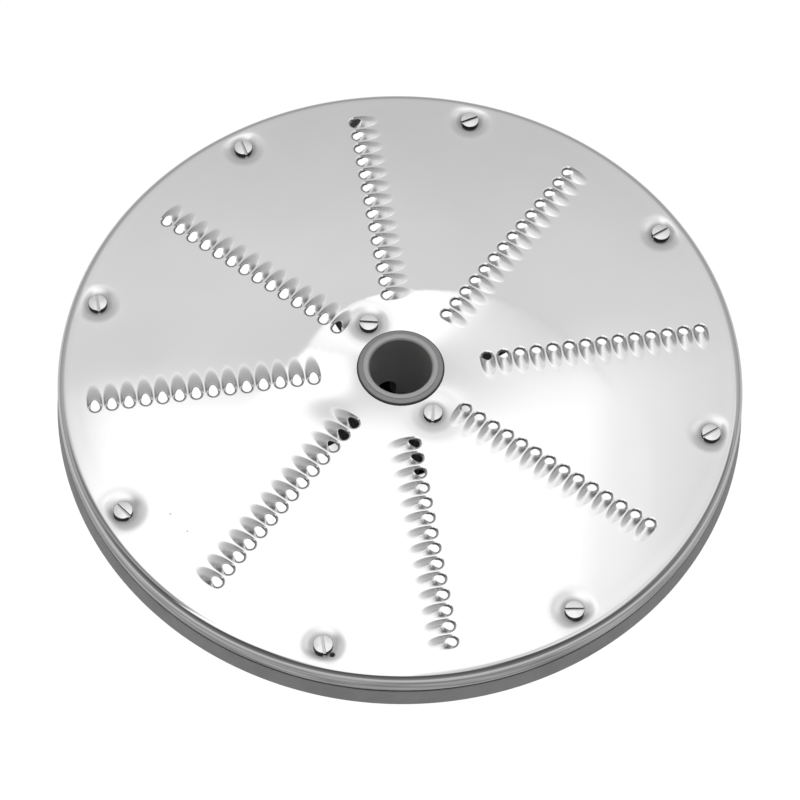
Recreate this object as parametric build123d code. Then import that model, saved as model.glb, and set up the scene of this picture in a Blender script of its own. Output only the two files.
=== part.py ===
"""Grating disc of a vegetable cutter: a toothed stainless plate screwed to a spoked aluminium carrier.

Frame: millimetres, +Z up, origin on the bore axis at the hub's lower face, spokes along X and Y.
"""

import os
from math import cos, pi, radians, sin, tan

from build123d import *

# Clearances
fit_gap = 0.2
skirt_gap = 0.8
thread_gap = 0.1

# Carrier: hub
bore_diameter = 19.0
bore_chamfer = 0.5
hub_wall = 9.5
hub_height = 34.0
hub_chamfer = 1.0
collar_wall = 3.45
collar_height = 0.8
notch_width = 8.4
notch_height = 11.0

# Carrier: rim, spokes and screw bosses
disc_diameter = 205.0
rim_height = 14.4
rim_wall = 2.5
rim_flare = 1.2
spoke_count = 4
spoke_root_width = 8.0
spoke_tip_width = 6.0
spoke_root_depth = 17.8
spoke_tip_depth = 13.0
spoke_flare = 3.0
boss_diameter = 10.0
boss_depth = 11.5
boss_sides = 12

# Plate: sheet and skirt
sheet_thickness = 0.8
skirt_height = 7.2
bend_radius = 1.6
bend_steps = 2

# Plate: grating teeth
row_count = 8
row_hub_margin = 4.7
row_rim_margin = 7.7
tooth_hole_diameter = 3.4
tooth_web = 1.63
tooth_sides = 8
hood_height = 1.3
hood_length = 7.4

# Screws and the dimples that they sit in
rim_screw_count = 8
hub_screw_margin = 0.6
head_diameter = 6.1
head_height = 1.3
head_sides = 14
slot_width = 0.9
slot_depth = 0.7
shank_diameter = 3.5
shank_length = 9.0
shank_sides = 8
dimple_depth = 0.4
dimple_slope = 14.0
dimple_sides = 10
rim_dimple_diameter = 11.0
hub_dimple_diameter = 9.6
rim_slot_angles = (0, -8, 80, 70, 104, 68, -31, 0)
hub_slot_angles = (-35, 55)

# Levels, from the hub's lower face
sheet_top = hub_height - collar_height
sheet_bottom = sheet_top - sheet_thickness
screw_seat = sheet_bottom - dimple_depth
skirt_bottom = sheet_top - skirt_height
rim_bottom = sheet_top - rim_height

# Radii, from the bore outwards
bore_radius = bore_diameter / 2
collar_radius = bore_radius + collar_wall
hub_radius = bore_radius + hub_wall
hub_screw_radius = collar_radius + hub_dimple_diameter / 2 + hub_screw_margin
outer_radius = disc_diameter / 2
rim_inner_radius = outer_radius - rim_wall
rebate_radius = outer_radius - sheet_thickness - fit_gap
rim_screw_radius = rim_inner_radius - rim_dimple_diameter / 2 - fit_gap

# Patterns around the bore
spoke_angles = [360 / spoke_count * i for i in range(spoke_count)]
rim_screw_angles = [360 / rim_screw_count * i for i in range(rim_screw_count)]
hub_screw_angles = (90, 270)


def around_bore(radius, angle, height=0.0):
    """Place at a radius and angle around the bore, with X pointing away from it."""
    return Rot(0, 0, angle) * Pos(radius, 0, height)


def turned(points):
    """Solid of revolution around the bore from a closed outline of (radius, height) points."""
    return revolve(make_face(Polyline(*[(r, 0, z) for r, z in points], close=True)), Axis.Z)


def prism(diameter, sides, bottom, top):
    """Upright prism whose flats touch a circle of this diameter."""
    outline = RegularPolygon(diameter / 2, sides, major_radius=False)
    return Pos(0, 0, bottom) * extrude(outline, top - bottom)


def faceted(loops):
    """Solid bounded by flat faces, each given by its corner points."""
    return Solid(Shell([Face(Wire.make_polygon(loop)) for loop in loops]))


def make_carrier():
    """One casting: hub with its collar, spokes, rim and screw bosses."""
    body = make_hub() + make_rim()
    body += [Rot(0, 0, angle) * make_spoke() for angle in spoke_angles]
    body += [around_bore(rim_screw_radius, angle) * make_boss() for angle in rim_screw_angles]
    tapped = prism(shank_diameter + 2 * thread_gap, shank_sides, screw_seat - shank_length, hub_height)
    cuts = [around_bore(rim_screw_radius, angle) * tapped for angle in rim_screw_angles]
    cuts += [around_bore(hub_screw_radius, angle) * tapped for angle in hub_screw_angles]
    return body - cuts - drive_notches()


def make_hub():
    """Turned hub: the collar rises through the plate, and the shoulder around it carries the hub screws."""
    return turned(
        [
            (bore_radius, 0),
            (hub_radius - hub_chamfer, 0),
            (hub_radius, hub_chamfer),
            (hub_radius, screw_seat),
            (collar_radius, screw_seat),
            (collar_radius, hub_height),
            (bore_radius + bore_chamfer, hub_height),
            (bore_radius, hub_height - bore_chamfer),
        ]
    )


def make_rim():
    """Rim with a rebate for the plate's skirt and a lower band that flares out from it."""
    band_top = skirt_bottom - skirt_gap
    return turned(
        [
            (rim_inner_radius, rim_bottom),
            (outer_radius + rim_flare, rim_bottom),
            (outer_radius, band_top),
            (rebate_radius, band_top),
            (rebate_radius, sheet_bottom),
            (rim_inner_radius, sheet_bottom),
        ]
    )


def make_spoke():
    """Spoke along X that tapers in width and depth from a flared root to the rim."""
    end = (rim_inner_radius + outer_radius) / 2
    root, tip = spoke_root_width / 2, spoke_tip_width / 2
    upper = [
        (bore_radius + hub_wall / 2, root + spoke_flare),
        (hub_radius, root + spoke_flare),
        (hub_radius + spoke_flare, root),
        (end, tip),
    ]
    lower = [(x, -y) for x, y in reversed(upper)]
    plan = make_face(Polyline(*upper, *lower, close=True))
    side = make_face(
        Polyline(
            (bore_radius + hub_wall / 2, screw_seat),
            (end, screw_seat),
            (end, screw_seat - spoke_tip_depth),
            (hub_radius, screw_seat - spoke_root_depth),
            (bore_radius + hub_wall / 2, screw_seat - spoke_root_depth),
            close=True,
        )
    )
    return extrude(plan, hub_height) & extrude(Plane.XZ * side, root + spoke_flare, both=True)


def make_boss():
    """Boss for a rim screw, with a neck that joins it to the rim."""
    bottom = screw_seat - boss_depth
    neck = (rim_inner_radius + outer_radius) / 2 - rim_screw_radius
    neck_align = Align.MIN, Align.CENTER, Align.MIN
    return prism(boss_diameter, boss_sides, bottom, screw_seat) + Pos(0, 0, bottom) * Box(
        neck, boss_diameter, boss_depth, align=neck_align
    )


def drive_notches():
    """Arched slot across the hub's lower face, which takes the drive pin of the shaft."""
    radius = notch_width / 2
    spring = notch_height - radius
    arch = Pos(0, spring) * Circle(radius) + Pos(0, spring / 2) * Rectangle(notch_width, spring)
    return extrude(Plane.XZ * arch, hub_radius + fit_gap, both=True)


def make_plate():
    """Pan-shaped sheet with its dimples, screw holes and grating teeth."""
    raised, cut = [], []
    for radius, angles, diameter in (
        (rim_screw_radius, rim_screw_angles, rim_dimple_diameter),
        (hub_screw_radius, hub_screw_angles, hub_dimple_diameter),
    ):
        dish, pierced = make_dimple(diameter)
        raised += [around_bore(radius, angle) * dish for angle in angles]
        cut += [around_bore(radius, angle) * pierced for angle in angles]
    hood, opening = grating_tooth()
    raised += [place * hood for place in tooth_places()]
    cut += [place * opening for place in tooth_places()]
    return make_pan() + raised - cut


def make_pan():
    """Plain sheet with its edge folded down over the rim."""
    inner = collar_radius + fit_gap
    turns = [radians(90 * (1 - i / bend_steps)) for i in range(bend_steps + 1)]
    centre_radius, centre_height = outer_radius - bend_radius, sheet_top - bend_radius
    bend = [(centre_radius + bend_radius * cos(a), centre_height + bend_radius * sin(a)) for a in turns]
    return turned(
        [
            (inner, sheet_top),
            *bend,
            (outer_radius, skirt_bottom),
            (outer_radius - sheet_thickness, skirt_bottom),
            (outer_radius - sheet_thickness, sheet_bottom),
            (inner, sheet_bottom),
        ]
    )


def make_dimple(diameter):
    """Dish to add below the sheet, and the same dish with the screw hole to cut from above."""
    corner = 1 / cos(pi / dimple_sides)
    floor = diameter / 2 - dimple_depth / tan(radians(dimple_slope))
    turns = [2 * pi * (i + 0.5) / dimple_sides for i in range(dimple_sides)]
    wide = [(corner * diameter / 2 * cos(a), corner * diameter / 2 * sin(a), 0) for a in turns]
    narrow = [(corner * floor * cos(a), corner * floor * sin(a), -dimple_depth) for a in turns]
    sides = [[wide[i - 1], wide[i], narrow[i], narrow[i - 1]] for i in range(dimple_sides)]
    dish = faceted([wide, narrow, *sides])
    hole = prism(shank_diameter + 2 * fit_gap, shank_sides, screw_seat - dimple_depth, hub_height)
    return Pos(0, 0, sheet_bottom) * dish, Pos(0, 0, sheet_top) * dish + hole


def tooth_places():
    """Teeth stand in rows midway between the rim screws, every other row half a pitch further out."""
    pitch = tooth_hole_diameter + tooth_web
    first = hub_radius + row_hub_margin
    room = rim_inner_radius - row_rim_margin - first - pitch / 2
    places = []
    for row in range(row_count):
        start = first + pitch / 2 * (row % 2)
        for tooth in range(int(room / pitch) + 1):
            place = around_bore(start + pitch * tooth, 360 / row_count * (row + 0.5), sheet_top)
            places.append(place * Rot(0, 0, -90))
    return places


def grating_tooth():
    """Hood that rises behind a hole and tapers to a point along X, and the opening under it."""
    radius = tooth_hole_diameter / 2
    turns = [2 * pi * i / tooth_sides - pi / 2 for i in range(tooth_sides // 2 + 1)]
    mouth = [(radius * cos(a), radius * sin(a), hood_height * cos(a)) for a in turns]
    tip = (hood_length, 0, 0)
    flanks = [[first, second, tip] for first, second in zip(mouth, mouth[1:])]
    hood = faceted([*flanks, mouth, [mouth[0], tip, mouth[-1]]])
    hole = extrude(RegularPolygon(radius, tooth_sides), 2 * (hood_height + sheet_thickness), both=True)
    return hood, hole + Pos(0, 0, -sheet_thickness) * hood


def slotted_screw(slot_angle):
    """Screw with a slotted round head, its origin under the head and its thread left plain."""
    slot = Pos(0, 0, head_height) * Box(2 * head_diameter, slot_width, 2 * slot_depth)
    head = prism(head_diameter, head_sides, 0, head_height) - slot
    shank = RegularPolygon(shank_diameter / 2, shank_sides)
    return Rot(0, 0, slot_angle) * (head + extrude(shank, -shank_length))


def make_screws(radius, angles, slot_angles):
    """Group of equal screws, each seated on the floor of its dimple."""
    seat = screw_seat + sheet_thickness
    return Compound(
        children=[
            around_bore(radius, angle, seat) * slotted_screw(slot_angle - angle)
            for angle, slot_angle in zip(angles, slot_angles)
        ]
    )


os.makedirs("parts", exist_ok=True)
export_step(make_carrier(), "parts/carrier.step")
export_step(make_plate(), "parts/grating_plate.step")
export_step(make_screws(rim_screw_radius, rim_screw_angles, rim_slot_angles), "parts/rim_screws.step")
export_step(make_screws(hub_screw_radius, hub_screw_angles, hub_slot_angles), "parts/hub_screws.step")
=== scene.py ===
from math import cos, pi, radians, sin, tan

import bmesh
import bpy
import numpy as np
from mathutils import Matrix, Vector, geometry


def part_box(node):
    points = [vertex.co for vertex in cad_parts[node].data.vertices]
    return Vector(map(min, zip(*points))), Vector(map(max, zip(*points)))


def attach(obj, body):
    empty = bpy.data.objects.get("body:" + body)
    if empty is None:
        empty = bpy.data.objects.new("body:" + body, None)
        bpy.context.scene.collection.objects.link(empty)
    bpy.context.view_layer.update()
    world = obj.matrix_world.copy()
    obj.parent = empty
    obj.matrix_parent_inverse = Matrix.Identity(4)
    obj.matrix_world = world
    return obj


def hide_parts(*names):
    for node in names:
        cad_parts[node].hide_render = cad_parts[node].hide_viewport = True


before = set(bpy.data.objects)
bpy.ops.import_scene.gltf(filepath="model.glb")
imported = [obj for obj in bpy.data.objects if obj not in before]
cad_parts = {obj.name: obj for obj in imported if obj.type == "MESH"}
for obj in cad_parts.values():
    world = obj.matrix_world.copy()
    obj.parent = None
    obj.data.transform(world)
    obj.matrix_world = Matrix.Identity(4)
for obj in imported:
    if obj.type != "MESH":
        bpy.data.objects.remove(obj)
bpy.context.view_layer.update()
mm = 0.001
scene = bpy.context.scene
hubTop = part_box("carrier")[1][2] / mm  # lengths are millimetres until a mesh is made
collarHeight = 0.8  # the collar stands this much proud of the sheet
sheetTop = hubTop - collarHeight
print("frame: nodes", ", ".join(sorted(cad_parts)))


class Signal:  # a shader socket that takes part in sums
    def __init__(self, finish, socket):
        self.finish, self.socket = finish, socket

    def math(self, operation, *values):
        return self.finish.node("ShaderNodeMath", {"operation": operation}, dict(enumerate(values)))

    def __add__(self, other):
        return self.math("ADD", self, other)

    def __sub__(self, other):
        return self.math("SUBTRACT", self, other)

    def __rsub__(self, other):
        return self.math("SUBTRACT", other, self)

    def __mul__(self, other):
        return self.math("MULTIPLY", self, other)

    def __pow__(self, other):
        return self.math("POWER", self, other)

    def __abs__(self):
        return self.math("ABSOLUTE", self)

    __radd__ = __add__
    __rmul__ = __mul__

    def atLeast(self, other):
        return self.math("MAXIMUM", self, other)

    def fade(self, low, high):  # 0 at low, 1 at high, smooth between
        settings = {"interpolation_type": "SMOOTHSTEP"}
        return self.finish.node("ShaderNodeMapRange", settings, {0: self, 1: low, 2: high, 3: 0.0, 4: 1.0})

    def fadeMm(self, low, high):  # the same, with both ends in millimetres
        return self.fade(low * mm, high * mm)


class Finish:  # one node tree: a material, or the world
    def __init__(self, owner):
        owner.use_nodes = True
        self.owner, self.tree = owner, owner.node_tree
        self.tree.nodes.clear()

    def node(self, kind, settings=None, inputs=None, out=0):
        made = self.tree.nodes.new(kind)
        for name, value in (settings or {}).items():
            if name == "stops":
                self.setStops(made.color_ramp, value)
            else:
                setattr(made, name, value)
        for name, value in (inputs or {}).items():
            if isinstance(value, Signal):
                self.tree.links.new(value.socket, made.inputs[name])
            else:
                made.inputs[name].default_value = value
        return Signal(self, made.outputs[out]) if made.outputs else made

    def setStops(self, ramp, stops):
        while len(ramp.elements) < len(stops):
            ramp.elements.new(0.5)
        for element, (place, shade) in zip(ramp.elements, stops):
            element.position = place
            element.color = grey(shade)

    def place(self):  # object coordinates, in metres
        return self.node("ShaderNodeTexCoord", out=3)

    def split(self, vector):
        made = self.node("ShaderNodeSeparateXYZ", inputs={0: vector})
        return [Signal(self, socket) for socket in made.socket.node.outputs]

    def stretched(self, vector, scale):
        return self.node("ShaderNodeVectorMath", {"operation": "MULTIPLY"}, {0: vector, 1: scale})

    def noise(self, vector, scale, detail=2.0, rough=0.5):
        inputs = {"Vector": vector, "Scale": scale, "Detail": detail, "Roughness": rough}
        return self.node("ShaderNodeTexNoise", inputs=inputs)

    def ramp(self, value, stops):
        return self.node("ShaderNodeValToRGB", {"stops": stops}, {0: value})

    def mixed(self, factor, first, second):  # colours by a factor
        inputs = {0: factor, 6: first, 7: second}
        return self.node("ShaderNodeMix", {"data_type": "RGBA"}, inputs, out=2)

    def bump(self, height, distance, strength):
        inputs = {"Height": height, "Distance": distance, "Strength": strength}
        return self.node("ShaderNodeBump", inputs=inputs)

    def surface(self, **inputs):
        names = {"color": "Base Color", "rough": "Roughness", "metal": "Metallic", "normal": "Normal"}
        shader = self.node("ShaderNodeBsdfPrincipled", inputs={names[k]: v for k, v in inputs.items()})
        self.node("ShaderNodeOutputMaterial", inputs={"Surface": shader})
        return self.owner


def newFinish(name):
    return Finish(bpy.data.materials.new(name))


def grey(shade):
    return shade, shade, shade, 1


def distance(x, y):
    return (x * x + y * y) ** 0.5


def addPiece(name, points, faces, material, node):
    mesh = bpy.data.meshes.new(name)
    mesh.from_pydata((np.asarray(points) * mm).tolist(), [], faces)
    return dressPiece(name, mesh, material, node)


def dressPiece(name, mesh, material, node):
    mesh.validate()
    mesh.materials.clear()
    mesh.materials.append(material)
    piece = bpy.data.objects.new(name, mesh)
    scene.collection.objects.link(piece)
    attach(piece, "root")
    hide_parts(node)
    mesh.calc_loop_triangles()
    print(f"{name}: {len(mesh.loop_triangles)} triangles")
    return piece


def rounded(corners, radii, steps=4):  # (r, z) outline with each corner rounded by its radius
    outline = []
    for i, ((r, z), radius) in enumerate(zip(corners, radii)):
        here = Vector((r, z))
        before = Vector(corners[i - 1]) - here
        after = Vector(corners[(i + 1) % len(corners)]) - here
        if radius <= 0:
            outline.append(here)
            continue
        half = before.angle(after) / 2
        cut = radius / tan(half)
        middle = here + (before.normalized() + after.normalized()).normalized() * (radius / sin(half))
        start = here + before.normalized() * cut - middle
        end = here + after.normalized() * cut - middle
        turn = start.angle_signed(end)
        for k in range(steps + 1):
            outline.append(middle + Matrix.Rotation(-turn * k / steps, 2) @ start)
    return [tuple(p) for p in outline]


def lathe(outline, segments):  # closed ring from a closed (r, z) outline
    turns = [2 * pi * i / segments for i in range(segments)]
    points = [(r * cos(a), r * sin(a), z) for a in turns for r, z in outline]
    n = len(outline)
    faces = []
    for i in range(segments):
        j = (i + 1) % segments
        for k in range(n):
            m = (k + 1) % n
            faces.append((i * n + k, j * n + k, j * n + m, i * n + m))
    return points, faces


def loft(sections):  # closed solid through rings of equal length, with flat ends
    n = len(sections[0])
    points = [p for ring in sections for p in ring]
    faces = [tuple(reversed(range(n))), tuple(range(len(points) - n, len(points)))]
    for i in range(len(sections) - 1):
        for k in range(n):
            m = (k + 1) % n
            faces.append((i * n + k, i * n + m, i * n + n + m, i * n + n + k))
    return points, faces


def scratchObject(points, faces):
    mesh = bpy.data.meshes.new("scratch")
    mesh.from_pydata([tuple(p) for p in points], [], faces)
    tidy = bmesh.new()
    tidy.from_mesh(mesh)
    bmesh.ops.recalc_face_normals(tidy, faces=tidy.faces)
    tidy.to_mesh(mesh)
    tidy.free()
    made = bpy.data.objects.new("scratch", mesh)
    scene.collection.objects.link(made)
    return made


def joined(base, tools, operation):  # base with each tool added or cut, as a new mesh
    for tool in tools:
        change = base.modifiers.new("cut", "BOOLEAN")
        change.object, change.operation, change.solver = tool, operation, "EXACT"
    bpy.context.view_layer.update()
    mesh = bpy.data.meshes.new_from_object(base.evaluated_get(bpy.context.evaluated_depsgraph_get()))
    for gone in [base, *tools]:
        bpy.data.objects.remove(gone)
    return mesh


def turnedBy(points, angle, shift=(0, 0, 0)):
    spin = Matrix.Rotation(radians(angle), 3, "Z")
    return [spin @ (Vector(p) + Vector(shift)) for p in points]


def circle(count):
    return np.linspace(0, 2 * pi, count, endpoint=False)


def ringAt(cx, cy, r, turns):  # x and y of points around a centre
    return np.stack([cx + r * np.cos(turns), cy + r * np.sin(turns)])


def smooth(low, high, value):
    t = np.clip((value - low) / (high - low), 0, 1)
    return t * t * (3 - 2 * t)


plate = {
    "edge": 102.5, "bendRadius": 2.5, "collarHole": 13.15, "thickness": 0.8,
    "skirtHeight": 7.2, "skirtLip": 0.25,
    "rows": 8, "teeth": 14, "firstTooth": 23.7, "pitch": 5.03,
    "toothSpan": (9.0, 3.0), "toothThinning": 0.45,
    "holeRadius": 1.45, "lipReach": 1.9, "openingPower": 1.5,
    "rollWidth": 0.8, "rollDepth": 0.36, "rollLimit": 1.2, "rollEnds": (0.5, -0.6),
    "hoodHeight": 1.06, "hoodLength": 7.5, "hoodHalfWidth": 2.34,
    "outline": (2.46, 7.9),  # half width and length of the ring around a tooth
    "tipPower": 2.3, "crownPower": 1.4, "riseStart": -0.6, "riseShare": 0.9,
    "rimScrews": 8, "rimScrewRadius": 94.3, "screwHole": 1.95,
    "hubScrews": (90, 270), "hubScrewRadius": 18.35,  # angles and radius
    "dimpleDepth": 0.4, "dimpleFloor": 3.1, "dimpleReach": 7.6, "dimplePower": 1.7, "dimpleFade": 3.4,
    "rimDimple": 5.5, "hubDimple": 4.7,
    "hubLevel": -0.2, "domeLevel": 0.25, "domeSide": 57.0, "domeStart": 11.0, "domeEnd": 98.0,
    "domeEdge": 0.012, "domeBlend": range(-12, 13, 4), "sagFade": (95.0, 99.8),
    "domeReach": [  # angle and radius of the crest
        (2, 42), (27, 32), (57, 27), (87, 27), (117, 28), (147, 30), (167, 45),
        (197, 80), (237, 95), (277, 95), (307, 80), (327, 60), (347, 48),
    ],
    "pulls": ((-24.0, 3.0, 0.06, 7.0), (1.0, -19.0, 0.06, 7.0)),  # x, y, depth and reach of two low spots
}
flatEdge = plate["edge"] - plate["bendRadius"]  # the bend starts at this radius
bendLevel = sheetTop - plate["bendRadius"]
skirtFoot = sheetTop - plate["skirtHeight"]

grid = {  # how finely the sheet is meshed
    "aroundHole": 32, "aroundDimple": 48, "aroundCollar": 96, "aroundEdge": 240, "bendPoints": 11,
    "hoodRings": (0, 0.12, 0.26, 0.42, 0.58, 0.72, 0.82, 0.9, 1.0), "dimpleRings": 7,
    "start": 14.3, "change": 40.0, "innerRings": 1.1, "outerRings": 1.6, "innerGap": 1.3, "outerGap": 2.0,
    "twist": 0.37, "dentRings": 0.6, "dentPast": 0.5, "dentSpare": 0.9,
    "edgeSpare": 0.6, "collarSpare": 0.7, "toothSpare": 0.7,
    "slopeStep": 0.02, "bendMatch": 0.05, "merge": 1e-5,
}


def rimScrewAngles():
    return [360 / plate["rimScrews"] * i for i in range(plate["rimScrews"])]


def toothPlaces():  # centre of each hole, and its row's angle
    step = 360 / plate["rows"]
    for row in range(plate["rows"]):
        angle = radians(step * (row + 0.5))
        for i in range(plate["teeth"]):
            reach = plate["firstTooth"] + plate["pitch"] * (i + 0.5 * (row % 2))
            yield reach * cos(angle), reach * sin(angle), angle


def dimplePlaces():  # centre of each dimple, and the radius of the ring that frames it
    for angle in rimScrewAngles():
        a = radians(angle)
        yield plate["rimScrewRadius"] * cos(a), plate["rimScrewRadius"] * sin(a), plate["rimDimple"]
    for side in (1, -1):
        yield 0.0, side * plate["hubScrewRadius"], plate["hubDimple"]


def sheetSag(x, y):  # low around the hub, and a little domed beyond it on one side
    r = np.hypot(x, y)
    turn = np.degrees(np.arctan2(y, x))
    far = 0.5 + 0.5 * np.cos(np.radians(turn - plate["domeSide"]))
    low, crest = plate["hubLevel"], plate["domeLevel"] * far
    start, end, edge = plate["domeStart"], plate["domeEnd"], plate["domeEdge"]
    angles, reaches = np.array(plate["domeReach"]).T
    nearby = [np.interp(turn + shift, angles, reaches, period=360) for shift in plate["domeBlend"]]
    reach = np.mean(nearby, axis=0)
    rising = low + (crest - low) * (r - start) / (reach - start)
    falling = crest * (end - r) / (end - reach)
    z = -edge * np.logaddexp(-rising / edge, -falling / edge)  # the lower one, with a soft crest
    for px, py, depth, pull in plate["pulls"]:
        z -= depth * np.exp(-((x - px) ** 2 + (y - py) ** 2) / pull ** 2)
    return z * (1 - smooth(*plate["sagFade"], r))


def hoodRise(u, v):  # u runs from the hole along the hood's tail, v across it
    h, w, length, lip = (plate[k] for k in ("hoodHeight", "hoodHalfWidth", "hoodLength", "lipReach"))
    t = np.clip((u - lip) / (length - lip), 0, 1)
    ridge = (1 - t) ** 2 * smooth(plate["riseStart"], plate["riseShare"] * lip, u)
    taper = (np.clip(u, 0, length) / length) ** plate["tipPower"]
    half = w * np.sqrt(np.clip(1 - taper, 1e-6, 1))  # never 0, as it divides
    across = np.clip(np.abs(v) / half, 0, 1)
    return h * ridge * (1 - across ** 2) ** plate["crownPower"]


def edgeRoll(u, v):  # the hole's front edge is rolled down
    inward = np.clip(1 - (np.hypot(u, v) - plate["holeRadius"]) / plate["rollWidth"], 0, plate["rollLimit"])
    return -plate["rollDepth"] * inward ** 2 * smooth(*plate["rollEnds"], u)


def dent(x, y, cx, cy):  # 1 under the screw's head, fading to 0 around it and before the bend
    away = smooth(plate["dimpleFloor"], plate["dimpleReach"], np.hypot(x - cx, y - cy))
    atBend = smooth(flatEdge - plate["dimpleFade"], flatEdge, np.hypot(x, y))
    return (1 - away) ** plate["dimplePower"] * (1 - atBend)


def toothLocal(x, y, tooth):  # u along the hood and v across it, from the hole's centre
    cx, cy, a = tooth
    dx, dy = x - cx, y - cy
    return dx * sin(a) - dy * cos(a), dx * cos(a) + dy * sin(a)


def toothRing(tooth, share, count):  # share 0 is the hole's edge, 1 the foot of the hood
    cx, cy, a = tooth
    turns = circle(count)
    hole, lip, (w, length) = (plate[k] for k in ("holeRadius", "lipReach", "outline"))
    side = hole + (w - hole) * share
    pointed, blunt = plate["openingPower"], 2 / plate["tipPower"]  # of the opening, and of the hood
    bow = pointed + (blunt - pointed) * share
    ahead = np.clip(np.cos(turns), 0, 1) ** bow * (lip + (length - lip) * share)
    u, v = ahead + side * np.clip(np.cos(turns), -1, 0), side * np.sin(turns)
    return cx + u * sin(a) + v * cos(a), cy - u * cos(a) + v * sin(a)


def insideTooth(u, v, spare=0.0):  # within the ring around a tooth, made larger by the spare
    w, length = (reach + spare for reach in plate["outline"])
    along = np.where(u > 0, np.abs(u / length) ** plate["tipPower"], (u / w) ** 2)
    return along + (v / w) ** 2 < 1


def toothHeight(x, y, teeth):
    z = np.zeros_like(x)
    length, width = plate["toothSpan"]
    for tooth in teeth:
        u, v = toothLocal(x, y, tooth)
        near = (np.abs(u) < length) & (np.abs(v) < width)
        z[near] += hoodRise(u[near], v[near]) + edgeRoll(u[near], v[near])
    return z


def sheetHeight(x, y, teeth, dimples):  # height of the sheet's upper face over its plain level
    z = sheetSag(x, y) + toothHeight(x, y, teeth)
    for cx, cy, _ in dimples:
        near = np.hypot(x - cx, y - cy) < plate["dimpleReach"]
        share = dent(x[near], y[near], cx, cy)
        z[near] = z[near] * (1 - share) - plate["dimpleDepth"] * share
    return z


class SheetNet:  # points of the sheet's upper face, and the faces between them
    def __init__(self):
        self.x, self.y, self.faces = np.empty(0), np.empty(0), []

    def addPoints(self, x, y):  # returns the new points' numbers
        start = len(self.x)
        self.x, self.y = np.concatenate([self.x, x]), np.concatenate([self.y, y])
        return np.arange(start, len(self.x))

    def fillRings(self, loops):  # quads between neighbouring rings
        for inner, outer in zip(loops, loops[1:]):
            corners = inner, outer, np.roll(outer, -1), np.roll(inner, -1)
            self.faces.extend(zip(*[corner.tolist() for corner in corners]))


def pressedForms(net, teeth, dimples):  # returns the edges of the holes, and the forms' outlines
    families = []
    for tooth in teeth:
        families.append([toothRing(tooth, share, grid["aroundHole"]) for share in grid["hoodRings"]])
    for cx, cy, frameRadius in dimples:
        radii = [plate["screwHole"], *np.linspace(plate["dimpleFloor"], frameRadius, grid["dimpleRings"])]
        families.append([ringAt(cx, cy, r, circle(grid["aroundDimple"])) for r in radii])
    holes, outlines = [], []
    for rings in families:
        loops = [net.addPoints(*ring) for ring in rings]
        net.fillRings(loops)
        holes.append(loops[0])
        outlines.append(loops[-1])
    return holes, outlines


def loosePoints(teeth, dimples):  # points that let the plain sheet bend, finer near the hub and the screws
    g, reach = grid, plate["dimpleReach"]
    limit = flatEdge - g["edgeSpare"]
    rings = []
    for low, high, step, gap in (
        (g["start"], g["change"], g["innerRings"], g["innerGap"]),
        (g["change"], limit, g["outerRings"], g["outerGap"]),
    ):
        for r in np.arange(low, high, step):
            rings.append(ringAt(0, 0, r, circle(int(2 * pi * r / gap)) + g["twist"] * r))
    spots = np.concatenate(rings, axis=1)
    for cx, cy, _ in dimples:
        spots = spots[:, np.hypot(spots[0] - cx, spots[1] - cy) > reach + g["dentSpare"]]
    for cx, cy, frameRadius in dimples:
        radii = np.arange(frameRadius + g["dentRings"], reach + g["dentPast"], g["dentRings"])
        rings = [ringAt(cx, cy, r, circle(g["aroundDimple"])) for r in radii]
        spots = np.concatenate([spots, *rings], axis=1)
    out = np.hypot(*spots)
    keep = (out > plate["collarHole"] + g["collarSpare"]) & (out < limit)
    for tooth in teeth:
        keep &= ~insideTooth(*toothLocal(*spots, tooth), spare=g["toothSpare"])
    return spots[:, keep]


def fillPlain(net, borders, loose, teeth, dimples):  # triangles of the plain sheet between the outlines
    used = np.concatenate([*borders, loose])
    local = {int(v): i for i, v in enumerate(used)}
    rims = [(local[int(a)], local[int(b)]) for loop in borders for a, b in zip(loop, np.roll(loop, -1))]
    spots = [Vector((net.x[v], net.y[v])) for v in used]
    found = geometry.delaunay_2d_cdt(spots, rims, [], 0, grid["merge"])
    source = [used[orig[0]] for orig in found[3]]
    triangles = np.array([[source[v] for v in face] for face in found[2]])
    mx, my = net.x[triangles].mean(axis=1), net.y[triangles].mean(axis=1)
    keep = np.hypot(mx, my) > plate["collarHole"] * cos(pi / grid["aroundCollar"])
    for tooth in teeth:
        keep &= ~insideTooth(*toothLocal(mx, my, tooth))
    for cx, cy, frameRadius in dimples:
        keep &= np.hypot(mx - cx, my - cy) > frameRadius
    net.faces.extend(tuple(t) for t in triangles[keep].tolist())


def skirtProfile():  # (r, z) of the bend and the skirt, from the upper face round to the lower one
    bend, wall, rim, lip = (plate[k] for k in ("bendRadius", "thickness", "edge", "skirtLip"))
    arc = np.linspace(pi / 2, 0, grid["bendPoints"])
    outer = [(flatEdge + bend * cos(a), bendLevel + bend * sin(a)) for a in arc[1:]]
    inner = [(flatEdge + (bend - wall) * cos(a), bendLevel + (bend - wall) * sin(a)) for a in arc[:0:-1]]
    foot, level = skirtFoot, skirtFoot + lip
    return [*outer, (rim, level), (rim - lip, foot), (rim - wall + lip, foot), (rim - wall, level), *inner]


def sheetNormals(x, y, teeth, dimples):  # from the slope of the upper face, for clean reflections
    step = grid["slopeStep"]
    slopeX = sheetHeight(x + step, y, teeth, dimples) - sheetHeight(x - step, y, teeth, dimples)
    slopeY = sheetHeight(x, y + step, teeth, dimples) - sheetHeight(x, y - step, teeth, dimples)
    normals = np.stack([-slopeX, -slopeY, np.full_like(x, 2 * step)], axis=1)
    return normals / np.linalg.norm(normals, axis=1, keepdims=True)


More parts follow.
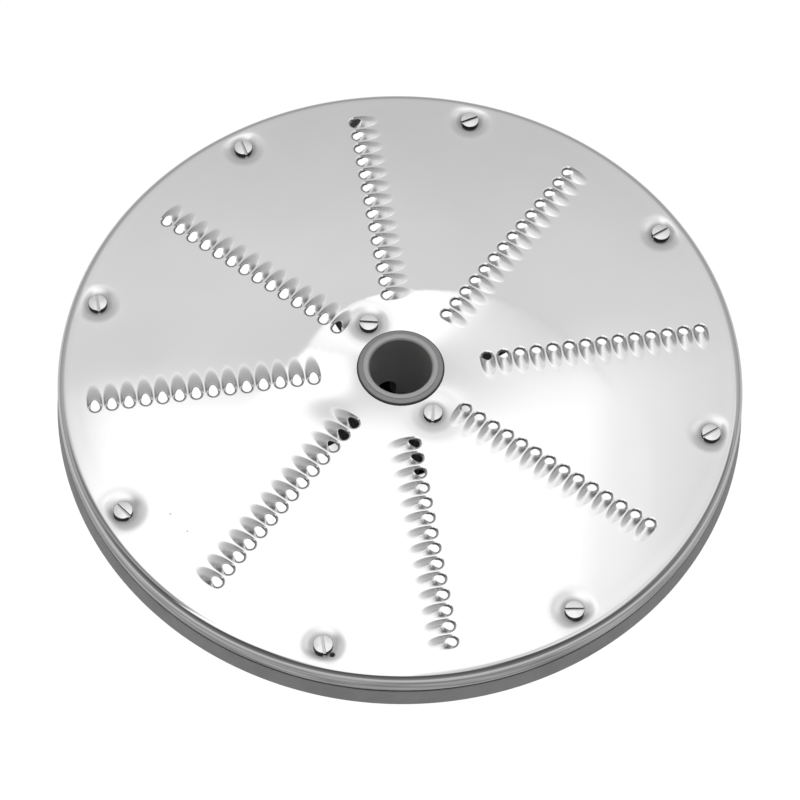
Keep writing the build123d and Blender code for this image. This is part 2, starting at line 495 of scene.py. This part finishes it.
def smoothSheet(mesh, points, normals, topEnd, underEnd):  # faces come in the order top, underside, rest
    under, bend = len(normals), plate["bendRadius"]
    mesh.shade_smooth()
    loopVertex = np.empty(len(mesh.loops), int)
    mesh.loops.foreach_get("vertex_index", loopVertex)
    loopFace = np.repeat(np.arange(len(mesh.polygons)), [len(p.vertices) for p in mesh.polygons])
    own = np.empty(len(mesh.polygons) * 3)
    mesh.polygons.foreach_get("normal", own)
    custom = own.reshape(-1, 3)[loopFace]
    onTop = loopFace < topEnd
    onUnder = (loopFace >= topEnd) & (loopFace < underEnd)
    custom[onTop] = normals[loopVertex[onTop]]
    custom[onUnder] = -normals[loopVertex[onUnder] - under]
    place = points[loopVertex]
    radius = np.hypot(place[:, 0], place[:, 1])
    lift = np.maximum(place[:, 2] - bendLevel, 0)
    onBend = np.abs(np.hypot(radius - flatEdge, lift) - bend) < grid["bendMatch"]  # and the skirt
    onBend &= (loopFace >= underEnd) & (place[:, 2] > skirtFoot + plate["skirtLip"] / 2)
    out = np.stack([place[:, 0] / radius, place[:, 1] / radius, np.zeros(len(place))], axis=1)
    rise = np.clip(lift / bend, 0, 1)[:, None]
    custom[onBend] = (out * np.sqrt(1 - rise ** 2) + np.array([0, 0, 1]) * rise)[onBend]
    mesh.normals_split_custom_set(custom.tolist())


def buildPlate(material):
    teeth, dimples = list(toothPlaces()), list(dimplePlaces())
    net = SheetNet()
    holes, outlines = pressedForms(net, teeth, dimples)
    collar = net.addPoints(*ringAt(0, 0, plate["collarHole"], circle(grid["aroundCollar"])))
    turns = circle(grid["aroundEdge"])
    edge = net.addPoints(*ringAt(0, 0, flatEdge, turns))
    loose = net.addPoints(*loosePoints(teeth, dimples))
    fillPlain(net, [*outlines, collar, edge], loose, teeth, dimples)

    x, y, faces = net.x, net.y, net.faces
    top = sheetTop + sheetHeight(x, y, teeth, dimples)
    thinning = np.clip(np.abs(toothHeight(x, y, teeth)), 0, plate["toothThinning"])  # teeth are drawn thin
    bottom = top - plate["thickness"] + thinning
    points = np.concatenate([np.stack([x, y, z], axis=1) for z in (top, bottom)])
    under, topEnd = len(x), len(faces)
    faces.extend([tuple(v + under for v in reversed(face)) for face in faces])
    underEnd = len(faces)
    for loop in [*holes, collar]:  # walls of the holes
        after = np.roll(loop, -1)
        faces.extend(zip(loop.tolist(), after.tolist(), (after + under).tolist(), (loop + under).tolist()))
    loops = [edge]
    for r, z in skirtProfile():
        start = len(points)
        ring = np.stack([*ringAt(0, 0, r, turns), np.full(len(turns), z)], axis=1)
        points = np.concatenate([points, ring])
        loops.append(np.arange(start, len(points)))
    net.fillRings([*loops, edge + under])

    piece = addPiece("gratingPlate", points, faces, material, "grating_plate")
    smoothSheet(piece.data, points, sheetNormals(x, y, teeth, dimples), topEnd, underEnd)
    return piece


sheetLook = {  # noises are scale and detail; pairs are where a mask is 0 and 1, in millimetres
    "cloud": (30.0, 3.0), "cloudTone": [(0.3, 0.65), (0.7, 0.68)],
    "fineStretch": (900.0, 90.0, 90.0), "fine": (6.0, 2.0),
    "streakStretch": (10.0, 10.0, 260.0), "streak": (3.0, 3.0), "streakAndShadeTone": [(0.38, 0.24), (0.62, 0.55)],
    "skirtDrop": (1.4, 2.2), "bend": (98.0, 102.0), "bendTone": 0.60,
    "rowEnd": (2.4, 2.2), "frontRing": (2.1, 1.7), "frontSide": (-0.8, 0.2), "frontShadeTone": 0.4,
    "hoodOval": (1.5, 0.4), "hoodSide": (0.4, -1.0),  # the oval is in shares of the hood's outline
    "creaseInside": (1.5, 1.9), "creaseOutside": (2.52, 2.2), "creaseTail": (-5.0, -0.8),
    "creaseMouth": (0.8, -0.2), "creaseShadeTone": 0.15, "creaseShare": 0.5,
    "dent": (9.5, 5.5), "dentEdge": (100.3, 99.7), "head": (5.0, 2.9), "headTone": 0.30,
    "rough": 0.04, "cloudRough": 0.03, "fineRough": 0.01,
    "hoodRough": 0.24, "dentRough": 0.15, "skirtRough": 0.32,
    "specks": [  # x, y, size and tone
        (-66.0, -70.6, 1.1, 0.03), (-83.1, -7.9, 0.6, 0.45), (-81.7, -15.4, 0.5, 0.45),
    ],
}


def around(turn, radius, angle, step):  # along and across the nearest of the rays that repeat every step
    local = turn.math("WRAP", turn - radians(angle), radians(step / 2), radians(-step / 2))
    return radius * local.math("COSINE", local), radius * local.math("SINE", local)


def toothMasks(turn, radius):  # 1 on the holes' rolled fronts, along the hoods and in their creases; fronts and creases carry painted shade
    s = sheetLook
    pitch, width, length = (plate[k] for k in ("pitch", "hoodHalfWidth", "hoodLength"))
    step = 360 / plate["rows"]
    fronts, hoods, creases = 0.0, 0.0, 0.0
    for row in (0, 1):  # every other row starts half a pitch further out
        first = plate["firstTooth"] + pitch * row / 2
        last = first + pitch * (plate["teeth"] - 1)
        along, across = around(turn, radius, step * (row + 0.5), 2 * step)
        offset = along.math("WRAP", along - first * mm, pitch / 2 * mm, -pitch / 2 * mm)
        inRow = along.fadeMm(*[first - spare for spare in s["rowEnd"]])
        inRow = inRow * along.fadeMm(*[last + spare for spare in s["rowEnd"]])
        front = distance(offset, across).fadeMm(*s["frontRing"]) * across.fadeMm(*s["frontSide"])
        fronts = front * inRow + fronts
        oval = offset * offset * (1 / (width * mm) ** 2) + across * across * (1 / (length * mm) ** 2)
        hoods = oval.fade(*s["hoodOval"]) * across.fadeMm(*s["hoodSide"]) * inRow + hoods
        side = abs(offset)
        crease = side.fadeMm(*s["creaseInside"]) * side.fadeMm(*s["creaseOutside"])
        crease = crease * across.fadeMm(*s["creaseTail"]) * across.fadeMm(*s["creaseMouth"])
        creases = crease * inRow + creases
    return fronts, hoods, creases


def screwMask(turn, radius, span):  # 1 around each screw
    mask = 0.0
    rimStep, (hubFirst, hubSecond) = 360 / plate["rimScrews"], plate["hubScrews"]
    for spot, angle, step in (
        (plate["rimScrewRadius"], 0, rimStep),
        (plate["hubScrewRadius"], hubFirst, hubSecond - hubFirst),
    ):
        along, across = around(turn, radius, angle, step)
        mask = distance(along - spot * mm, across).fadeMm(*span) + mask
    return mask


def steelSheet():
    f, s = newFinish("polishedSheet"), sheetLook
    place = f.place()
    x, y, z = f.split(place)
    radius, turn = distance(x, y), x.math("ARCTAN2", y, x)
    cloud = f.noise(place, *s["cloud"])
    fine = f.noise(f.stretched(place, s["fineStretch"]), *s["fine"])
    streak = f.noise(f.stretched(place, s["streakStretch"]), *s["streak"])
    skirt = z.fadeMm(*[sheetTop - drop for drop in s["skirtDrop"]])
    fronts, hoods, creases = toothMasks(turn, radius)
    dents = screwMask(turn, radius, s["dent"]) * radius.fadeMm(*s["dentEdge"])
    worked = (hoods * s["hoodRough"]).atLeast(dents * s["dentRough"])  # pressed forms are less polished
    # painted shade: the rolled front of each hole is darkened
    tone = f.mixed(fronts, f.ramp(cloud, s["cloudTone"]), grey(s["frontShadeTone"]))
    # painted shade: the creases along the hoods' feet are darkened
    tone = f.mixed(creases * s["creaseShare"], tone, grey(s["creaseShadeTone"]))
    # painted shade: the sheet right round each screw head is darker
    tone = f.mixed(screwMask(turn, radius, s["head"]), tone, grey(s["headTone"]))
    tone = f.mixed(radius.fadeMm(*s["bend"]), tone, grey(s["bendTone"]))
    for px, py, size, shade in s["specks"]:
        spot = distance(x - px * mm, y - py * mm).fadeMm(size, size / 2)
        tone = f.mixed(spot, tone, grey(shade))
    # the skirt's streaked tone is partly brushing marks and partly painted shade that dims its reflection
    tone = f.mixed(skirt, tone, f.ramp(streak, s["streakAndShadeTone"]))
    rough = s["rough"] + cloud * s["cloudRough"] + fine * s["fineRough"] + worked
    rough = rough * (1 - skirt) + skirt * s["skirtRough"]
    return f.surface(color=tone, rough=rough, metal=1.0)


buildPlate(steelSheet())

carrier = {
    "bore": 9.5, "hub": 19.0, "collar": 12.95, "shoulder": sheetTop - 1.2,
    "collarDrop": 0.4, "boreBevel": 0.4,
    "turnedLine": 11.36, "lineHalf": 0.2, "lineEdge": 0.1, "lineDepth": 0.18,
    "hubRounds": (0.3, 1.0, 0.3, 0.3, 0.2, 0, 0, 0, 0.15, 0), "aroundHub": 128,
    "rimOuter": 102.5, "rimInner": 100.0, "rebate": 101.5, "rimFlare": 1.2,
    "rimBottom": sheetTop - 14.4, "bandTop": sheetTop - 8.0, "seat": sheetTop - 0.8,
    "rimRounds": (0.7, 0.6, 0.2, 0.15, 0.4, 0.4), "aroundRim": 240,
    "spokes": 4, "spokeStart": 13.5,
    "spokeRoot": (4.0, 17.8), "spokeTip": (3.0, 13.0),  # half width and depth
    "rootFlare": 3.4, "rootDrop": 1.2, "rootRun": 10.0, "tipFlare": 1.6, "tipReach": 5.0, "tipRun": 6.0,
    "spokeDraft": 0.88, "spokeRound": 1.1,
    "bossRadius": 5.0, "bossDepth": 11.5, "bossSpread": 0.15, "neckSpread": 0.4,
    "bossFoot": ((0.0, 1.0), (0.3, 0.45), (1.0, 0.1), (2.0, 0.0)),  # rise and inset
    "notchWidth": 8.4, "notchHeight": 11.0, "tapRadius": 1.85, "tapDepth": 9.0, "sharpAngle": 32,
}


def hubOutline():
    c = carrier
    line, half = c["turnedLine"], c["lineHalf"]
    corners = [
        (c["bore"], 0), (c["hub"], 0), (c["hub"], c["shoulder"]),
        (c["collar"], c["shoulder"]), (c["collar"], hubTop - c["collarDrop"]),
        (line + half, hubTop - c["lineEdge"]), (line, hubTop - c["lineDepth"]), (line - half, hubTop),
        (c["bore"] + c["boreBevel"], hubTop), (c["bore"], hubTop - c["boreBevel"]),
    ]
    return rounded(corners, c["hubRounds"])


def rimOutline():
    c = carrier
    foot = c["rimOuter"] + c["rimFlare"]
    corners = [
        (c["rimInner"], c["rimBottom"]), (foot, c["rimBottom"]), (c["rimOuter"], c["bandTop"]),
        (c["rebate"], c["bandTop"]), (c["rebate"], c["seat"]), (c["rimInner"], c["seat"]),
    ]
    return rounded(corners, c["rimRounds"])


def rimMiddle():  # spokes and bosses run on to the middle of the rim's wall
    return (carrier["rimInner"] + carrier["rimOuter"]) / 2


def spokeSections():  # along X, wider at both ends
    c = carrier
    (rootHalf, rootDepth), (tipHalf, tipDepth) = c["spokeRoot"], c["spokeTip"]
    hub, rim, end, edge = c["hub"], c["rimInner"], rimMiddle(), c["spokeRound"]
    rootEnd, tipStart = hub + c["rootRun"], rim - c["tipRun"]
    stations = np.concatenate([  # closer together where the ends flare
        [c["spokeStart"], hub - 1], np.linspace(hub, rootEnd, 12),
        np.linspace(rootEnd + 4, tipStart - 2, 8), np.linspace(tipStart, rim, 8), [end],
    ])
    sections = []
    for x in stations:
        t = min(max((x - hub) / (end - hub), 0), 1)
        root = max(1 - max(x - hub, 0) / (2 * c["rootFlare"]), 0) ** 2
        tip = max(1 - max(rim - x, 0) / c["tipReach"], 0) ** 2
        half = rootHalf + (tipHalf - rootHalf) * t + c["rootFlare"] * root + c["tipFlare"] * tip
        depth = rootDepth + (tipDepth - rootDepth) * t + c["rootDrop"] * root
        foot = c["spokeDraft"] * half
        corner = [(edge * cos(a) - edge, edge * sin(a) + edge) for a in np.linspace(0, -pi / 2, 5)]
        ring = [(-half, 0), (half, 0), *[(foot + y, z - depth) for y, z in corner]]
        ring += [(-y, z) for y, z in reversed(ring[2:])]
        sections.append([(x, y, c["shoulder"] + z) for y, z in ring])
    return sections


def bossSections():  # upright, with a neck that runs into the rim
    c = carrier
    neck, depth = rimMiddle() - plate["rimScrewRadius"], c["bossDepth"]
    turns = np.linspace(pi / 2, 3 * pi / 2, 25)
    sections = []
    for rise, inset in (*c["bossFoot"], (depth, -c["bossSpread"])):
        r = c["bossRadius"] - inset
        side = r + c["neckSpread"]
        ring = [(r * cos(a), r * sin(a)) for a in turns] + [(neck, -side), (neck, side)]
        sections.append([(x, y, c["shoulder"] - depth + rise) for x, y in ring])
    return sections


def column(radius, low, high, count=40):
    return loft([[(radius * cos(a), radius * sin(a), z) for a in circle(count)] for z in (low, high)])


def notchSections():  # arched cutter that runs a little past the hub
    c = carrier
    r, below, reach = c["notchWidth"] / 2, -1.0, c["hub"] + 0.2
    arch = [(r * cos(a), c["notchHeight"] - r + r * sin(a)) for a in np.linspace(0, pi, 25)]
    return [[(x, y, z) for x, z in [*arch, (-r, below), (r, below)]] for y in (-reach, reach)]


def buildCarrier(material):
    c = carrier
    adds = [scratchObject(*lathe(rimOutline(), c["aroundRim"]))]
    points, faces = loft(spokeSections())
    adds += [scratchObject(turnedBy(points, 360 / c["spokes"] * i), faces) for i in range(c["spokes"])]
    points, faces = loft(bossSections())
    rimSpots = [(plate["rimScrewRadius"], angle) for angle in rimScrewAngles()]
    hubSpots = [(plate["hubScrewRadius"], angle) for angle in plate["hubScrews"]]
    adds += [scratchObject(turnedBy(points, angle, (radius, 0, 0)), faces) for radius, angle in rimSpots]
    whole = joined(scratchObject(*lathe(hubOutline(), c["aroundHub"])), adds, "UNION")
    cuts = [scratchObject(*loft(notchSections()))]
    points, faces = column(c["tapRadius"], c["shoulder"] - c["tapDepth"], hubTop)
    cuts += [scratchObject(turnedBy(points, a, (radius, 0, 0)), faces) for radius, a in rimSpots + hubSpots]
    base = bpy.data.objects.new("scratch", whole)
    scene.collection.objects.link(base)
    mesh = joined(base, cuts, "DIFFERENCE")
    mesh.transform(Matrix.Scale(mm, 4))
    mesh.shade_smooth()
    mesh.set_sharp_from_angle(angle=radians(c["sharpAngle"]))
    return dressPiece("carrierCasting", mesh, material, "carrier")


castLook = {  # noises are scale, detail and roughness; pairs are where a mask is 0 and 1, in millimetres
    "grain": (900.0, 3.0, 0.6), "patch": (120.0, 3.0), "turned": (4000.0, 900.0),
    "castMix": (0.6, 0.25, 0.15), "castTone": [(0.3, 0.275), (0.7, 0.355)],
    "collarRise": (-0.2, 0.1), "ring": (12.85, 12.65), "ringLine": (0.25, -0.1),
    "ringMix": (0.7, 0.3), "ringTone": [(0.1, 0.35), (0.9, 0.50)],
    "edge": (12.5, 12.8), "edgeShadeTone": 0.13,
    "pastCollar": (13.1, 13.3), "insideRim": (100.5, 99.5), "insideShadeTone": [(0.3, 0.07), (0.7, 0.10)],
    "topRise": (-1.7, -1.3), "topEdge": (99.0, 98.0), "underSheetShadeTone": 0.012,
    "bore": (9.85, 9.6), "borePatch": 0.1, "boreTone": [(0.1, 0.92), (1.0, 0.54)],
    "rough": 0.5, "grainRough": 0.15, "metal": 0.75, "bumpMix": (0.6, 0.4), "bump": (0.00005, 0.5),
}


def castAluminium():
    f, s = newFinish("castAluminium"), castLook
    place = f.place()
    x, y, z = f.split(place)
    radius = distance(x, y)
    grain, patch = f.noise(place, *s["grain"]), f.noise(place, *s["patch"])
    outward, upward = s["turned"]
    lines = f.node("ShaderNodeCombineXYZ", inputs={0: radius * outward, 1: z * upward})
    turned = f.noise(lines, 1.0, 2.0)  # marks of the lathe
    patchShare, grainShare, turnedShare = s["castMix"]
    cast = f.ramp(patch * patchShare + grain * grainShare + turned * turnedShare, s["castTone"])
    collar = z.fadeMm(*[sheetTop + rise for rise in s["collarRise"]])
    line = radius.fadeMm(*[carrier["turnedLine"] + offset for offset in s["ringLine"]])
    lineShare, turnedShare = s["ringMix"]
    ring = f.ramp(line * lineShare + turned * turnedShare, s["ringTone"])
    tone = f.mixed(collar * radius.fadeMm(*s["ring"]), cast, ring)
    tone = f.mixed(collar * radius.fadeMm(*s["edge"]), tone, grey(s["edgeShadeTone"]))  # painted shade: a dark ring along the collar's outer edge
    pastCollar = radius.fadeMm(*s["pastCollar"])
    insideShade = radius.fadeMm(*s["insideRim"]) * pastCollar  # painted shade: darker inside the rim, past the collar
    tone = f.mixed(insideShade, tone, f.ramp(patch, s["insideShadeTone"]))
    top = z.fadeMm(*[sheetTop + rise for rise in s["topRise"]]) * pastCollar * radius.fadeMm(*s["topEdge"])
    tone = f.mixed(top, tone, grey(s["underSheetShadeTone"]))  # painted shade: black on the tops under the sheet, where the grating holes show them
    # painted light: the bore's wall is lighter towards its foot and darker at its mouth, evening out its
    # shading
    height = z * (1 / (hubTop * mm)) + patch * s["borePatch"]
    tone = f.mixed(radius.fadeMm(*s["bore"]), tone, f.ramp(height, s["boreTone"]))
    rough = s["rough"] + grain * s["grainRough"]
    metal = s["metal"] + top * (1 - s["metal"])
    grainShare, turnedShare = s["bumpMix"]
    normal = f.bump(grain * grainShare + turned * turnedShare, *s["bump"])
    return f.surface(color=tone, rough=rough, metal=metal, normal=normal)


buildCarrier(castAluminium())

screw = {
    "headRadius": 2.85, "headHeight": 1.05, "slotWidth": 0.9, "slotDepth": 0.6, "seat": sheetTop - 0.4,
    "shankRadius": 1.75, "shankLength": 9.0, "dome": 0.06, "middle": 0.001,
    "edgeRound": 0.22, "footRound": 0.1, "tipRound": 0.3, "aroundHead": 56, "sharpAngle": 35,
    "rimSlots": (0, -8, 80, 70, 104, 68, -31, 0), "hubSlots": (-35, 55),
}


def screwMesh():
    s = screw
    shank, head, height, tip = s["shankRadius"], s["headRadius"], s["headHeight"], -s["shankLength"]
    corners = [
        (s["middle"], tip), (shank, tip), (shank, 0),
        (head, 0), (head, height - s["dome"]), (s["middle"], height),
    ]
    outline = rounded(corners, (0, s["tipRound"], 0, s["footRound"], s["edgeRound"], 0))
    w, low, reach = s["slotWidth"] / 2, height - s["slotDepth"], head + 1  # the cutter runs past the head
    high = low + 3
    slot = loft([[(x, -w, low), (x, w, low), (x, w, high), (x, -w, high)] for x in (-reach, reach)])
    return joined(scratchObject(*lathe(outline, s["aroundHead"])), [scratchObject(*slot)], "DIFFERENCE")


def buildScrews(name, radius, angles, slots, material, node):
    group = bmesh.new()
    one = screwMesh()
    for angle, slotAngle in zip(angles, slots):
        a = radians(angle)
        copy = one.copy()
        spot = Matrix.Translation((radius * cos(a), radius * sin(a), screw["seat"]))
        copy.transform(Matrix.Scale(mm, 4) @ spot @ Matrix.Rotation(radians(slotAngle), 4, "Z"))
        group.from_mesh(copy)
        bpy.data.meshes.remove(copy)
    mesh = bpy.data.meshes.new(name)
    group.to_mesh(mesh)
    group.free()
    mesh.shade_smooth()
    mesh.set_sharp_from_angle(angle=radians(screw["sharpAngle"]))
    return dressPiece(name, mesh, material, node)


screwLook = {  # noises are scale and detail
    "grain": (1500.0, 2.0), "patch": (500.0, 2.0), "headTone": [(0.3, 0.72), (0.7, 0.80)],
    "slotRise": (0.3, 0.1), "slotShadeTone": 0.55, "facing": (0.3, 0.8), "sideShadeTone": 0.07,
    "rough": 0.28, "grainRough": 0.1, "bump": (0.00002, 0.3),
}


def screwSteel():
    f, s = newFinish("screwSteel"), screwLook
    place = f.place()
    grain, patch = f.noise(place, *s["grain"]), f.noise(place, *s["patch"])
    facing = f.split(f.node("ShaderNodeNewGeometry", out=1))[2]
    slotLevel = screw["seat"] + screw["headHeight"] - screw["slotDepth"]
    slotFloor = f.split(place)[2].fadeMm(*[slotLevel + rise for rise in s["slotRise"]])
    # painted shade: the slot's floor is darker
    tone = f.mixed(slotFloor, f.ramp(patch, s["headTone"]), grey(s["slotShadeTone"]))
    # painted shade: the heads' upright sides are near black
    tone = f.mixed(facing.fade(*s["facing"]), grey(s["sideShadeTone"]), tone)
    rough = s["rough"] + grain * s["grainRough"]
    return f.surface(color=tone, rough=rough, metal=1.0, normal=f.bump(grain, *s["bump"]))


screwFinish = screwSteel()
rimRadius, hubRadius = plate["rimScrewRadius"], plate["hubScrewRadius"]
buildScrews("rimScrews", rimRadius, rimScrewAngles(), screw["rimSlots"], screwFinish, "rim_screws")
buildScrews("hubScrews", hubRadius, plate["hubScrews"], screw["hubSlots"], screwFinish, "hub_screws")

ground = {
    "size": 6.0, "white": 0.9, "glow": 1.03, "contactReach": 0.008, "shadeReach": 0.080, "shadeSamples": 8,
    "seenShare": 0.985, "mirroredShare": 0.5, "hubShadow": (18.8, 19.5), "dark": 0.01,
}
studio = {  # pairs are where a mask is 0 and 1: shares of a unit direction, and tilts in degrees
    "sky": [
        (0.0, 0.34), (0.17, 0.54), (0.50, 0.58), (0.707, 0.66), (0.797, 0.80),
        (0.818, 0.905), (0.830, 0.98), (0.842, 0.98), (0.853, 0.93), (1.0, 0.95),
    ],
    "cameraSide": [(0.0, 0.42), (0.3, 0.27), (0.6, 0.15), (1.0, 0.12)], "cameraEdge": (0.15, -0.2),
    "window": 1.62, "windowFar": (59.0, 59.5), "windowNear": (54.0, 62.0), "windowLow": (0.2, 0.6),
    "windowLeft": (-0.130, -0.106), "leftFrom": 70.0, "leftSlant": 0.75,
    "flankSide": (0.15, 0.35), "flankNear": (-0.16, -0.32),
    "cornerSide": (-0.15, -0.35), "cornerFar": (0.45, 0.25), "cornerNear": (0.02, 0.15),
    "cornerLow": (0.50, 0.68), "cornerDark": 0.28,
    "sidePanel": [
        (0.065, 1.36), (0.088, 1.27), (0.10, 1.20), (0.125, 1.02), (0.22, 1.05), (0.35, 1.3), (0.45, 1.1),
        (0.65, 0.3), (1.0, 0.3),
    ],
    "sideEdge": (0.058, 0.080), "sideFar": (57.3, 58.6),
}
view = {
    "turn": -33.02, "elevation": 59.235, "roll": 1.671, "distance": 0.80601,
    "aim": (0.000081, -0.011318, sheetTop * mm), "lens": 122.126, "sensor": 36.0,
}


def buildFloor():  # white to the camera and in the metal, with the part's shadow painted into the glow
    half = ground["size"] / 2
    mesh = bpy.data.meshes.new("floor")
    corners = [(-half, -half, 0), (half, -half, 0), (half, half, 0), (-half, half, 0)]
    mesh.from_pydata(corners, [], [(0, 1, 2, 3)])
    floor = bpy.data.objects.new("floor", mesh)
    scene.collection.objects.link(floor)
    f = newFinish("whiteFloor")
    path = f.node("ShaderNodeLightPath").socket.node.outputs
    seen = Signal(f, path["Is Camera Ray"])
    mirrored = Signal(f, path["Is Glossy Ray"]).atLeast(Signal(f, path["Is Transmission Ray"]))
    samples = {"samples": ground["shadeSamples"]}
    # painted shadow: ambient occlusion fades the floor's glow near the part, over a short reach to the
    # camera and a longer one in reflections
    contact, wide = (
        f.node("ShaderNodeAmbientOcclusion", samples, {"Distance": ground[reach]}, out=1)
        for reach in ("contactReach", "shadeReach")
    )
    matt = f.node("ShaderNodeBsdfDiffuse", inputs={"Color": grey(ground["white"])})
    glow = f.node("ShaderNodeEmission", inputs={"Color": grey(1), "Strength": ground["glow"]})
    x, y, _ = f.split(f.place())
    clearOfHubShadow = distance(x, y).fadeMm(*ground["hubShadow"])  # painted shadow: under the hub the floor has no glow
    factor = seen * contact * clearOfHubShadow * ground["seenShare"] + mirrored * wide * ground["mirroredShare"]
    mix = f.node("ShaderNodeMixShader", inputs={0: factor, 1: matt, 2: glow})
    # painted shadow: a near-black floor under the hub
    dark = f.node("ShaderNodeBsdfDiffuse", inputs={"Color": grey(ground["dark"])})
    mix = f.node("ShaderNodeMixShader", inputs={0: clearOfHubShadow, 1: dark, 2: mix})
    f.node("ShaderNodeOutputMaterial", inputs={"Surface": mix})
    mesh.materials.append(f.owner)


def buildLight():  # a pale sky with a white window overhead, and a dark side behind the camera
    s = studio
    world = bpy.data.worlds.new("studio")
    scene.world = world
    f = Finish(world)
    x, y, up = f.split(f.node("ShaderNodeTexCoord", out=0))
    turn = radians(view["turn"])
    right, away = x * cos(turn) + y * sin(turn), x * -sin(turn) + y * cos(turn)
    tilt = up.math("ARCTAN2", up, away)  # 0 ahead of the camera, a half turn behind it
    flank = abs(right).fade(*s["flankSide"]) * away.fade(*s["flankNear"])
    near = tilt.fade(*[radians(180 - a) for a in s["windowNear"]]) * up.fade(*s["windowLow"]) * (1 - flank)
    left = right + (tilt - radians(s["leftFrom"])).atLeast(0.0) * s["leftSlant"]
    side = right.fade(*s["sideEdge"])
    window = tilt.fade(*[radians(a) for a in s["windowFar"]]) * near * (1 - side)
    window = window * left.fade(*s["windowLeft"])
    panel = tilt.fade(*[radians(a) for a in s["sideFar"]]) * near * side
    corner = right.fade(*s["cornerSide"]) * away.fade(*s["cornerFar"])
    corner = corner * away.fade(*s["cornerNear"]) * up.fade(*s["cornerLow"])
    shade = f.mixed(away.fade(*s["cameraEdge"]), f.ramp(up, s["sky"]), f.ramp(up, s["cameraSide"]))
    shade = f.mixed(corner, shade, grey(s["cornerDark"]))
    shade = f.mixed(window, shade, grey(s["window"]))
    shade = f.mixed(panel, shade, f.ramp(right, s["sidePanel"]))
    back = f.node("ShaderNodeBackground", inputs={"Color": shade, "Strength": 1.0})
    f.node("ShaderNodeOutputWorld", inputs={"Surface": back})


def buildCamera():
    e = radians(view["elevation"])
    right, up, back = Vector((1, 0, 0)), Vector((0, sin(e), cos(e))), Vector((0, -cos(e), sin(e)))
    axes = Matrix((right, up, back)).transposed() @ Matrix.Rotation(radians(view["roll"]), 3, "Z")
    place = Vector(view["aim"]) + back * view["distance"]
    lens = bpy.data.cameras.new("camera")
    lens.lens, lens.sensor_width = view["lens"], view["sensor"]
    camera = bpy.data.objects.new("camera", lens)
    scene.collection.objects.link(camera)
    turn = Matrix.Rotation(radians(view["turn"]), 4, "Z")  # from the photograph's frame to the part's
    camera.matrix_world = turn @ Matrix.Translation(place) @ axes.to_4x4()
    scene.camera = camera


buildFloor()
buildLight()
buildCamera()
scene.view_settings.view_transform = "Standard"
print("studio: floor, light and camera are set")
